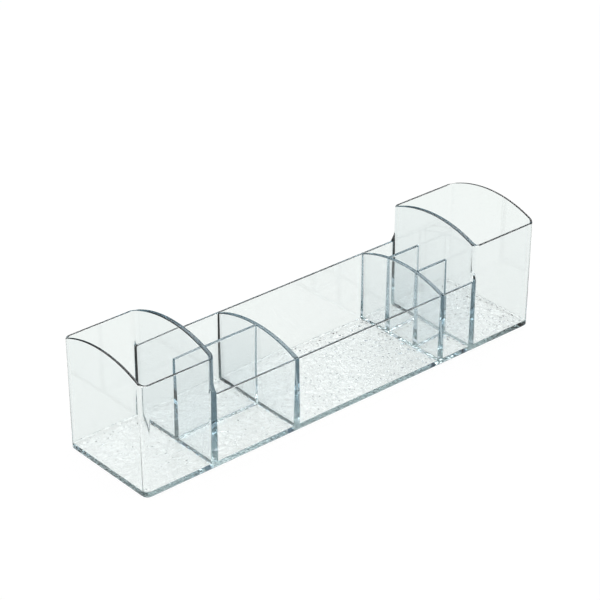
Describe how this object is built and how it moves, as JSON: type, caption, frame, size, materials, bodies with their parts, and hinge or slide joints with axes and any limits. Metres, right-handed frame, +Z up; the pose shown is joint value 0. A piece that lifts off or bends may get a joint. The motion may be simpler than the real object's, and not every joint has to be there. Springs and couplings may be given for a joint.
{
  "type": "storage organizer",
  "caption": "Long clear plastic organizer tray for a bathroom or vanity shelf, with a tall open bin at each end, low panels between them, arched dividers and a pebbled floor.",
  "frame": {"origin": "middle of the underside of the floor plate", "axes": "+X along the tray from the bin beside the two wide compartments to the other bin, +Y to the back, +Z up"},
  "size_m": [0.318, 0.077, 0.0842],
  "materials": {
    "clear_plastic": "clear gloss"
  },
  "bodies": {
    "root": {"base": "clear_plastic", "left_bin": "clear_plastic", "right_bin": "clear_plastic", "front_panel": "clear_plastic", "back_panel": "clear_plastic", "left_cross_divider": "clear_plastic", "right_cross_divider": "clear_plastic", "left_lengthwise_divider": "clear_plastic", "right_front_lengthwise_divider": "clear_plastic", "right_rear_lengthwise_divider": "clear_plastic"}
  },
  "joints": []
}
